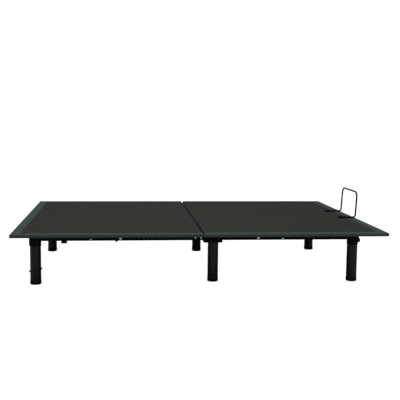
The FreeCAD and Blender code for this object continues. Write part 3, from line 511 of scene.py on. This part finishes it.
def coverHalf(shape, openX, endX, hinge):
    # one U-shaped half of a cover, from the open line openX to the closed end endX
    look = coverShape
    way = 1 if endX > openX else -1
    split = endX in (splitLow, splitHigh)
    outer = None if split else endX
    corner = look["splitCorner"] if split else look["endCorner"]
    rim = look["rimInset"]
    reach, side = abs(endX - openX) - rim, deckSide - rim
    seam = (look["seamHalf"] * 3, look["seamHalf"] / 1.5)
    fineX = [] if split else [(abs(endX - openX) - look["bandWide"], *seam)]
    if hinge is not None:
        fineX.append((abs(hinge - openX), look["hingeReach"], look["hingeStep"]))
    band = deckSide - look["bandWide"]
    along = stations(0.0, reach, fineX)
    across = stations(-side, side, [(band, *seam), (-band, *seam)])
    uvLayer = shape.loops.layers.uv["cut"]
    flat = {}

    def vertex(away, y, drop, cut):
        x = openX + way * away
        fold = relief(x, y, outer) if drop == 0.0 else 0.0
        tremor = 0.0
        if drop > look["tremorFrom"] and abs(y) > side:
            tremor = look["tremor"] * drift(x, y, look["tremorDrift"], drop * look["tremorDown"])
        point = shape.verts.new((x, y + tremor, deckTop - drop - fold))
        flat[point] = (openX + way * cut[0], cut[1])
        return point

    rings = []
    rows = edgeRows()
    travelled = 0.0
    for before, (inset, drop) in zip(rows[:1] + rows, rows):
        # a ring round three sides; the cut is measured along the cloth, over the edge
        travelled += math.dist((inset, drop), before)
        legX = legY = rim - inset
        if split and drop > deckThick * look["swellFrom"]:
            # along the split the two covers' lower edges swell towards each other
            swell = (drop / deckThick - look["swellFrom"]) / (1 - look["swellFrom"])
            legX = rim - min(inset, look["splitUnder"]) + look["splitSwell"] * swell
        turn = max(corner - inset, 0.0)
        flanks = []
        for sign in (-1, 1):
            flank = [vertex(min(away, reach + legX), sign * (side + legY), drop,
                            (away, sign * (side + travelled))) for away in along]
            for step in range(look["cornerSteps"] + 1):
                share = step / look["cornerSteps"]
                angle = share * math.pi / 2
                flank.append(vertex(
                    reach + legX - turn * (1 - math.sin(angle)),
                    sign * (side + legY - turn * (1 - math.cos(angle))), drop,
                    (reach + travelled * share, sign * (side + travelled * (1 - share)))))
            flanks.append(flank)
        end = [vertex(reach + legX, max(-side - legY, min(side + legY, y)), drop,
                      (reach + travelled, y)) for y in across]
        rings.append(flanks[0] + end + flanks[1][::-1])

    grid = [[vertex(away, y, 0.0, (away, y)) for y in across] for away in along]
    for strip in (rings, grid):
        for first, second in zip(strip, strip[1:]):
            for index in range(len(first) - 1):
                face = shape.faces.new((first[index], first[index + 1], second[index + 1],
                                        second[index]))
                for loop in face.loops:
                    loop[uvLayer].uv = flat[loop.vert]


def coverMesh(name, halves):
    shape = bmesh.new()
    shape.loops.layers.uv.new("cut")
    for openX, endX, hinge in halves:
        coverHalf(shape, openX, endX, hinge)
    bmesh.ops.remove_doubles(shape, verts=shape.verts, dist=coverShape["weld"])
    bmesh.ops.dissolve_degenerate(shape, edges=shape.edges, dist=1e-6)
    bmesh.ops.recalc_face_normals(shape, faces=shape.faces)
    top = max(shape.faces, key=lambda face: face.calc_area())
    if top.normal.z < 0:
        bmesh.ops.reverse_faces(shape, faces=shape.faces)
    mesh = bpy.data.meshes.new(name)
    shape.to_mesh(mesh)
    shape.free()
    return mesh


settleLook = {
    "frames": 24, "quality": 6, "mass": 0.25, "stiff": 12.0, "bend": 0.35, "slack": -0.0025,
    "foamDrop": 0.0026, "foamWave": 0.0012, "foamDrift": 5, "foamStep": 0.02, "gap": 0.0006,
    "heldRim": 0.013, "heldSeam": 0.007, "heldMeeting": 0.03, "heldBelow": 0.004,
}


def makeFoam(lowX, highX):
    # the uneven top of the foam that the cloth settles on; only there while it settles
    look = settleLook
    shape = bmesh.new()
    countX = round((highX - lowX) / look["foamStep"])
    countY = round(2 * deckSide / look["foamStep"])
    rows = []
    for i in range(countX + 1):
        x = lowX + (highX - lowX) * i / countX
        rows.append([])
        for j in range(countY + 1):
            y = -deckSide + 2 * deckSide * j / countY
            wave = drift(x, y, look["foamDrift"], driftLayer["foam"]) * look["foamWave"]
            rows[-1].append(shape.verts.new((x, y, deckTop - look["foamDrop"] + wave)))
    for first, second in zip(rows, rows[1:]):
        for j in range(countY):
            shape.faces.new((first[j], second[j], second[j + 1], first[j + 1]))
    mesh = bpy.data.meshes.new("foamTop")
    shape.to_mesh(mesh)
    shape.free()
    foam = bpy.data.objects.new("foamTop", mesh)
    bpy.context.scene.collection.objects.link(foam)
    foam.modifiers.new("collide", "COLLISION")
    foam.collision.thickness_outer = look["gap"]
    return foam


def settle(cover, lowX, highX):
    # cloth simulation: held at the rim, the seams and the meeting edge, free between them
    look = settleLook
    foam = makeFoam(lowX, highX)
    held = cover.vertex_groups.new(name="held")
    for vertex in cover.data.vertices:
        x, y, z = vertex.co
        outer = min(deckSide - abs(y), abs(x - headEndX), abs(x - footEndX))
        atRim = min(outer, abs(x - splitLow), abs(x - splitHigh)) < look["heldRim"]
        atSeam = abs(outer - coverShape["bandWide"]) < look["heldSeam"]
        atMeeting = abs(x - thighMid) < look["heldMeeting"]
        if atRim or atSeam or atMeeting or z < deckTop - look["heldBelow"]:
            held.add([vertex.index], 1.0, "REPLACE")
    modifier = cover.modifiers.new("settle", "CLOTH")
    cloth = modifier.settings
    cloth.quality = look["quality"]
    cloth.mass = look["mass"]
    cloth.tension_stiffness = cloth.compression_stiffness = look["stiff"]
    cloth.shear_stiffness = look["stiff"] / 2
    cloth.bending_stiffness = look["bend"]
    cloth.shrink_min = look["slack"]
    cloth.vertex_group_mass = "held"
    modifier.collision_settings.distance_min = look["gap"]
    modifier.point_cache.frame_start = 1
    modifier.point_cache.frame_end = look["frames"]
    scene = bpy.context.scene
    for moment in range(1, look["frames"] + 1):
        scene.frame_set(moment)
    bakeModifiers(cover)
    cover.vertex_groups.clear()
    bpy.data.objects.remove(foam)
    scene.frame_set(1)


def makeCover(name, halves, hidden, bodies, hinge):
    cover = pieceFrom(name, coverMesh(name, halves), clothMaterial)
    ends = [end for half in halves for end in half[:2]]
    settle(cover, min(ends), max(ends))
    for face in cover.data.polygons:
        face.use_smooth = True
    solid = cover.modifiers.new("cloth", "SOLIDIFY")
    solid.thickness = coverShape["cloth"]
    solid.offset = -1
    bakeModifiers(cover)
    cover.data.set_sharp_from_angle(angle=math.radians(coverShape["crispAngle"]))
    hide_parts(*hidden)
    bendAcross(cover)


def bendAcross(piece):
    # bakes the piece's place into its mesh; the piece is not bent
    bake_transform(piece)


covers = {
    "head_cover": dict(halves=[(headMid, headEndX, None), (headMid, splitLow, headX)],
                       hidden=("head_pad", "seat_pad"), bodies=("head_deck", "root"),
                       hinge=hingeAt["head_tilt"]),
    "hip_cover": dict(halves=[(thighMid, splitHigh, thighX)], hidden=("hip_pad", "thigh_pad"),
                      bodies=("root", "thigh_deck"), hinge=hingeAt["thigh_tilt"]),
    "foot_cover": dict(halves=[(thighMid, footEndX, kneeX)], hidden=("calf_pad",),
                       bodies=("thigh_deck", "calf_deck"), hinge=hingeAt["calf_level"]),
}
for coverName, plan in covers.items():
    makeCover(coverName, **plan)
print("covers made")


# ---------- stitches, staples and fixings ----------

stitchLook = {"long": 0.0034, "radius": 0.00035, "rise": 0.4, "pitch": 0.0052, "spread": 0.06,
              "offset": 0.0042, "sides": 6}


def stitchMesh():
    # one thread stitch: a short bar with rounded ends
    half, radius = stitchLook["long"] / 2, stitchLook["radius"]
    rows = [(0, -half), (radius * 0.8, -half * 0.92), (radius, -half * 0.5), (radius, half * 0.5),
            (radius * 0.8, half * 0.92), (0, half)]
    return turnedMesh("stitch", rows, stitchLook["sides"], axis="x")


def seamLines(plan):
    # straight runs of the border seam on one cover: (start, end, outer end)
    inset = deckSide - coverShape["bandWide"] + stitchLook["offset"]
    runs = []
    low = min(min(half[:2]) for half in plan["halves"])
    high = max(max(half[:2]) for half in plan["halves"])
    turn = coverShape["bandWide"] - stitchLook["offset"]
    if low == headEndX:
        low += turn
        runs.append(((low, -inset), (low, inset), headEndX))
    if high == footEndX:
        high -= turn
        runs.append(((high, -inset), (high, inset), footEndX))
    outer = {headEndX + turn: headEndX, footEndX - turn: footEndX}
    for side in (-1, 1):
        runs.append(((low, side * inset), (high, side * inset),
                     outer.get(low) or outer.get(high)))
    return runs


def makeStitches(name, plan):
    spots = []
    for start, end, outer in seamLines(plan):
        first, last = Vector(start), Vector(end)
        run = (last - first).length
        count = int(run / stitchLook["pitch"])
        turn = math.atan2(last.y - first.y, last.x - first.x)
        for index in range(count):
            spot = first.lerp(last, (index + 0.5) / count)
            fold = relief(spot.x, spot.y, outer)
            level = deckTop - fold + stitchLook["radius"] * stitchLook["rise"]
            spots.append(((spot.x, spot.y, level), (0, 0, turn)))
    piece = repeated(name, stitchMesh(), spots, threadMaterial,
                     spread=stitchLook["spread"])
    bendAcross(piece)


for coverName, plan in covers.items():
    makeStitches(coverName.replace("cover", "stitches"), plan)
print("stitches made")

headLook = {"sides": 28, "recessDeep": 0.55}  # what every fastener head shares


barSoft = 0.3  # share of a bar's thickness that its softened edges take


def barMesh(name, x, y, z):
    # a small block with softened edges, centred
    shape = bmesh.new()
    bmesh.ops.create_cube(shape, size=1.0, matrix=Matrix.Diagonal((x, y, z, 1)))
    bmesh.ops.bevel(shape, geom=list(shape.edges), offset=min(x, y, z) * barSoft, segments=2,
                    profile=0.5, affect="EDGES")
    mesh = bpy.data.meshes.new(name)
    shape.to_mesh(mesh)
    shape.free()
    return mesh


def headMesh(name, radius, tall, recess):
    # a domed fastener head with a round recess, facing +Z; its profile runs from the middle out
    floor = tall * (1 - headLook["recessDeep"])
    rows = [(0, floor), (recess, floor), (recess * 1.15, tall * 0.97),
            (radius * 0.62, tall * 0.9), (radius * 0.86, tall * 0.62), (radius * 0.98, tall * 0.3),
            (radius, 0.0), (radius * 0.9, -tall * 0.1), (0, -tall * 0.1)]
    return turnedMesh(name, rows, headLook["sides"])


def islands(nodeName):
    # the boxes of the separate solids of one CAD node, whose triangles come loose
    shape = bmesh.new()
    shape.from_mesh(nodes[nodeName].data)
    bmesh.ops.remove_doubles(shape, verts=shape.verts, dist=1e-5)
    seen, boxes = set(), []
    place = nodes[nodeName].matrix_world
    for start in shape.verts:
        if start in seen:
            continue
        stack, points = [start], []
        seen.add(start)
        while stack:
            vertex = stack.pop()
            points.append(place @ vertex.co)
            for edge in vertex.link_edges:
                other = edge.other_vert(vertex)
                if other not in seen:
                    seen.add(other)
                    stack.append(other)
        boxes.append((Vector(min(point[axis] for point in points) for axis in range(3)),
                      Vector(max(point[axis] for point in points) for axis in range(3))))
    shape.free()
    return boxes


boltLook = {"tall": 0.0022, "recess": 0.36, "fill": 0.97,
            "radius": {"rail_bolts": 0.006, "lift_pivot_bolts": 0.008}}


def makeBoltHeads():
    # a dome on the outer face of every bolt
    look = boltLook
    for name, size in look["radius"].items():
        spots = []
        for low, high in islands(name):
            side = 1 if high.y > 0 else -1
            outside = high.y if side > 0 else low.y
            spots.append((((low.x + high.x) / 2, outside, (low.z + high.z) / 2),
                          (-side * math.pi / 2, 0, 0)))
        dome = headMesh(name + "Dome", size * look["fill"], look["tall"], size * look["recess"])
        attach(repeated(name + "_domes", dome, spots, zincMaterial), "root")


clampScrewLook = {"radius": 0.0028, "tall": 0.0016, "recess": 0.001, "endInset": 0.006,
                  "sideInset": 0.0035}


def makeClampScrews():
    # four screws in each clamp
    look = clampScrewLook
    spots = []
    for low, high in islands("retainer_clamps"):
        for x in (low.x + look["endInset"], high.x - look["endInset"]):
            for y in (low.y + look["sideInset"], high.y - look["sideInset"]):
                spots.append(((x, y, high.z), (0, 0, 0)))
    head = headMesh("clampScrew", look["radius"], look["tall"], look["recess"])
    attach(repeated("retainer_clamp_screws", head, spots, wirePaint), "calf_deck")


stapleLook = {"wide": 0.011, "wire": 0.0006, "flat": 1.6, "sunk": 0.2, "pitch": 0.058,
              "inset": 0.026, "hingeInset": 0.045, "hipNear": 0.02, "hipFar": 0.042,
              "askew": 0.3, "askewStep": 2.4}


def askew(index):
    # how far a hand-driven staple is turned
    return stapleLook["askew"] * math.sin(index * stapleLook["askewStep"])


def makeStaples():
    # staples that hold the cover's under flap to the boards
    look = stapleLook
    crown = barMesh("staple", look["wide"], look["wire"] * look["flat"], look["wire"])
    level = deckTop - deckThick - look["wire"] * look["sunk"]
    side = deckSide - look["inset"]
    stretches = {
        "head": ("head_deck", headEndX + look["inset"], headX - look["hingeInset"]),
        "seat": ("root", headX + look["hingeInset"], splitLow - look["hingeInset"]),
        "hip": ("root", splitHigh + look["hipNear"], thighX - look["hipFar"]),
        "thigh": ("thigh_deck", thighX + look["hingeInset"], kneeX - look["hingeInset"]),
        "calf": ("calf_deck", kneeX + look["hingeInset"], footEndX - look["inset"]),
    }
    for name, (body, first, last) in stretches.items():
        count = max(1, round((last - first) / look["pitch"]))
        spots = [((first + (last - first) * index / count, way * side, level),
                  (0, 0, askew(index))) for index in range(count + 1) for way in (-1, 1)]
        outer = {"head": first, "calf": last}.get(name)
        if outer is not None:
            count = round(2 * side / look["pitch"])
            spots += [((outer, -side + 2 * side * index / count, level),
                       (0, 0, math.pi / 2 + askew(index))) for index in range(1, count)]
        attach(repeated(name + "_staples", crown, spots, zincMaterial), body)


frameScrewLook = {"radius": 0.0042, "tall": 0.0022, "recess": 0.0016, "pitch": 0.15,
                  "endInset": 0.045, "sideBarLong": 0.3, "sideBarTall": 0.03}


def makeFrameScrews():
    # pan-head screws up through the side bars of each lifting frame; the calf frame's two side
    # bars meet its end bar corner to corner, so they come as one box as wide as the frame
    look = frameScrewLook
    head = headMesh("frameScrew", look["radius"], look["tall"], look["recess"])
    for name, body in (("head_subframe", "head_deck"), ("thigh_subframe", "thigh_deck"),
                       ("calf_subframe", "calf_deck")):
        spots = []
        for low, high in islands(name):
            bar = high.z - low.z
            if high.x - low.x < look["sideBarLong"] or bar > look["sideBarTall"]:
                continue
            run = high.x - low.x - 2 * look["endInset"]
            count = max(1, round(run / look["pitch"]))
            for middle in sorted({round(low.y + bar / 2, 4), round(high.y - bar / 2, 4)}):
                for index in range(count + 1):
                    x = low.x + look["endInset"] + run * index / count
                    spots.append(((x, middle, low.z), (math.pi, 0, 0)))
        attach(repeated(name + "_screws", head, spots, zincMaterial), body)


makeBoltHeads()
makeClampScrews()
makeStaples()
makeFrameScrews()
print("fixings made")


# ---------- floor, light and camera ----------

studio = {
    "floorSize": 60.0, "floorShade": (0.44, 0.44, 0.44), "floorLift": 0.02, "floorCloud": 0.6,
    "floorGlow": 1.55, "glowShare": 0.64, "sky": 0.26,
}
lamps = {
    "keyLight": dict(power=95.0, size=(4.0, 3.0), place=(-0.4, -0.6, 3.6), target=(0, 0, 0.3)),
    "fillLight": dict(power=12.0, size=(0.6, 1.6), place=(1.6, -3.4, 1.4), target=(0.2, 0, 0.2)),
    "backLight": dict(power=30.0, size=(4.0, 1.5), place=(0.5, 3.4, 3.0), target=(0, 0, 0.3)),
}


def makeFloor():
    # the floor's glow is seen by the camera only, so it does not light the bed from below
    half = studio["floorSize"] / 2
    mesh = bpy.data.meshes.new("studioFloor")
    mesh.from_pydata([(-half, -half, 0), (half, -half, 0), (half, half, 0), (-half, half, 0)],
                     [], [(0, 1, 2, 3)])
    floor = bpy.data.objects.new("studioFloor", mesh)
    bpy.context.scene.collection.objects.link(floor)
    finish = Finish("paleFloor", Roughness=0.9, Specular_IOR_Level=0.1)
    tone = finish.grain(finish.place(), studio["floorCloud"], 2.0)
    shade = studio["floorShade"]
    lighter = tuple(value + studio["floorLift"] for value in shade)
    floor.data.materials.append(finish.drive(
        Base_Color=finish.blendColours(tone, shade, lighter)))
    seen = finish.add("ShaderNodeLightPath", {}, output="Is Camera Ray")
    glow = finish.add("ShaderNodeEmission", {}, Strength=studio["floorGlow"])
    surface = finish.add("ShaderNodeMixShader", {}, seen * studio["glowShare"],
                         Wire(finish, finish.shader.outputs[0]), glow)
    finish.tree.links.new(surface.socket, finish.tree.nodes["Material Output"].inputs["Surface"])


def makeLight(name, power, size, place, target):
    lamp = bpy.data.lights.new(name, "AREA")
    lamp.shape = "RECTANGLE"
    lamp.size, lamp.size_y = size
    lamp.energy = power
    light = bpy.data.objects.new(name, lamp)
    light.location = place
    light.rotation_euler = (Vector(target) - Vector(place)).to_track_quat("-Z", "Y").to_euler()
    bpy.context.scene.collection.objects.link(light)


def makeWorld():
    world = bpy.data.worlds.new("studioSky")
    world.use_nodes = True
    tree = world.node_tree
    back = tree.nodes["Background"]
    back.inputs["Color"].default_value = (1, 1, 1, 1)
    ray = tree.nodes.new("ShaderNodeLightPath")
    level = tree.nodes.new("ShaderNodeMapRange")
    level.inputs["To Min"].default_value = studio["sky"]
    level.inputs["To Max"].default_value = 1.0
    tree.links.new(ray.outputs["Is Camera Ray"], level.inputs["Value"])
    tree.links.new(level.outputs[0], back.inputs["Strength"])
    bpy.context.scene.world = world


cameraSetting = {"place": (-0.4317, -4.7312, 0.9497), "lens": 68.6, "sensor": 36.0,
                 "yaw": 5.866, "pitch": 6.479, "roll": -0.657}


def makeCamera():
    lens = bpy.data.cameras.new("studioCamera")
    lens.lens = cameraSetting["lens"]
    lens.sensor_width = cameraSetting["sensor"]
    camera = bpy.data.objects.new("studioCamera", lens)
    aim = Matrix.Rotation(-math.radians(cameraSetting["yaw"]), 4, "Z")
    tilt = Matrix.Rotation(math.radians(90 - cameraSetting["pitch"]), 4, "X")
    lean = Matrix.Rotation(-math.radians(cameraSetting["roll"]), 4, "Z")
    camera.matrix_world = Matrix.Translation(cameraSetting["place"]) @ aim @ tilt @ lean
    bpy.context.scene.collection.objects.link(camera)
    bpy.context.scene.camera = camera


makeFloor()
makeWorld()
for lampName, lamp in lamps.items():
    makeLight(lampName, **lamp)
makeCamera()
bpy.context.scene.view_settings.view_transform = "Standard"
print("studio made")
